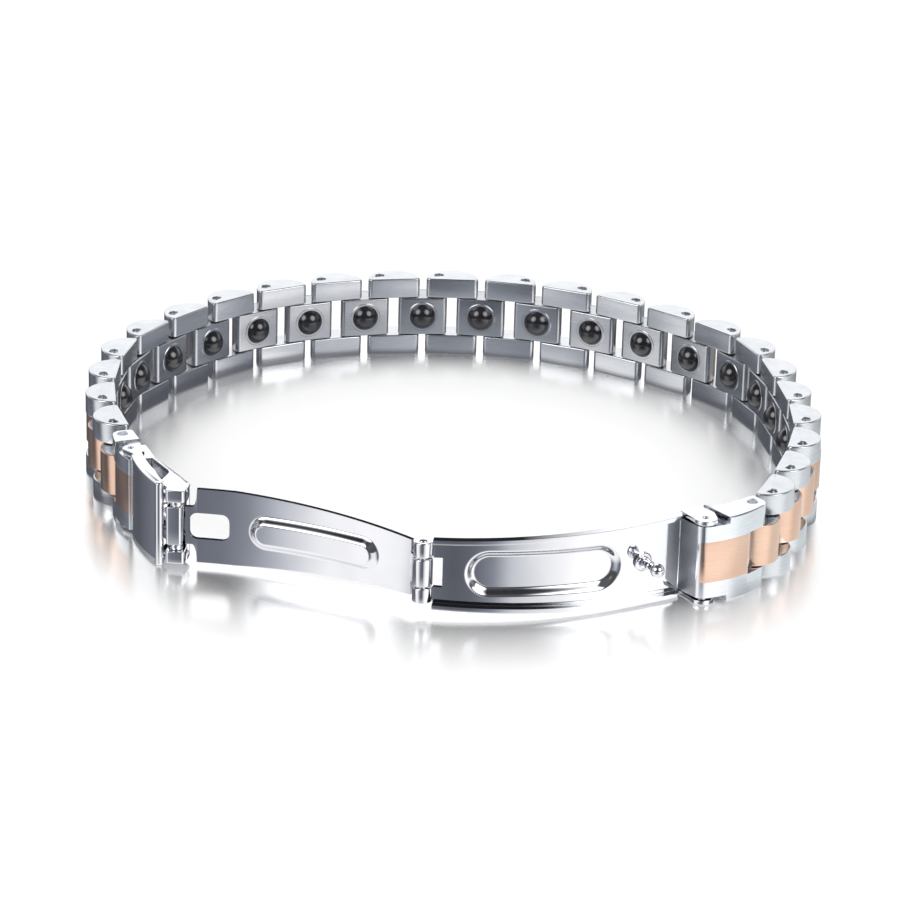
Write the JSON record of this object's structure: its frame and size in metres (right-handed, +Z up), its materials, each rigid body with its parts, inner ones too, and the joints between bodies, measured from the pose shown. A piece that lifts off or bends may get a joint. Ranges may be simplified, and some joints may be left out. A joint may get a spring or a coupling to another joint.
{
  "type": "magnetic bracelet",
  "caption": "Two-tone steel link bracelet with a round magnet in each centre link and a fold-over clasp, shown unclasped and standing on its edge.",
  "frame": {"origin": "under the middle of the whole, on the surface that the bracelet stands on", "axes": "+Z up, along the width of the band, +X from the left end link towards the right one, -Y towards the opened clasp"},
  "size_m": [0.0858, 0.084, 0.01],
  "materials": {
    "steel": "polished, with the flat faces brushed",
    "rose_gold": "polished rose gold plating on the outer face, plain steel elsewhere",
    "magnet": "glossy black dome"
  },
  "bodies": {
    "root": {"outer_link_01": "steel", "outer_link_02": "steel", "outer_link_03": "steel", "outer_link_04": "steel", "outer_link_05": "steel", "outer_link_06": "steel", "outer_link_07": "steel", "outer_link_08": "steel", "outer_link_09": "steel", "outer_link_10": "steel", "outer_link_11": "steel", "outer_link_12": "steel", "outer_link_13": "steel", "outer_link_14": "steel", "outer_link_15": "steel", "outer_link_16": "steel", "outer_link_17": "steel", "outer_link_18": "steel", "outer_link_19": "steel", "outer_link_20": "steel", "outer_link_21": "steel", "outer_link_22": "steel", "outer_link_23": "steel", "centre_link_01": "rose_gold", "centre_link_02": "rose_gold", "centre_link_03": "rose_gold", "centre_link_04": "rose_gold", "centre_link_05": "rose_gold", "centre_link_06": "rose_gold", "centre_link_07": "rose_gold", "centre_link_08": "rose_gold", "centre_link_09": "rose_gold", "centre_link_10": "rose_gold", "centre_link_11": "rose_gold", "centre_link_12": "rose_gold", "centre_link_13": "rose_gold", "centre_link_14": "rose_gold", "centre_link_15": "rose_gold", "centre_link_16": "rose_gold", "centre_link_17": "rose_gold", "centre_link_18": "rose_gold", "centre_link_19": "rose_gold", "centre_link_20": "rose_gold", "centre_link_21": "rose_gold", "centre_link_22": "rose_gold", "centre_link_23": "rose_gold", "centre_link_24": "rose_gold", "magnets": "magnet", "left_end_link": "steel", "right_end_link": "steel", "long_blade": "steel", "short_blade": "steel", "stud": "steel", "catch_cover": "steel", "catch_frame": "steel", "left_end_pin": "steel", "right_end_pin": "steel", "fold_pin": "steel", "catch_pin": "steel"}
  },
  "joints": []
}
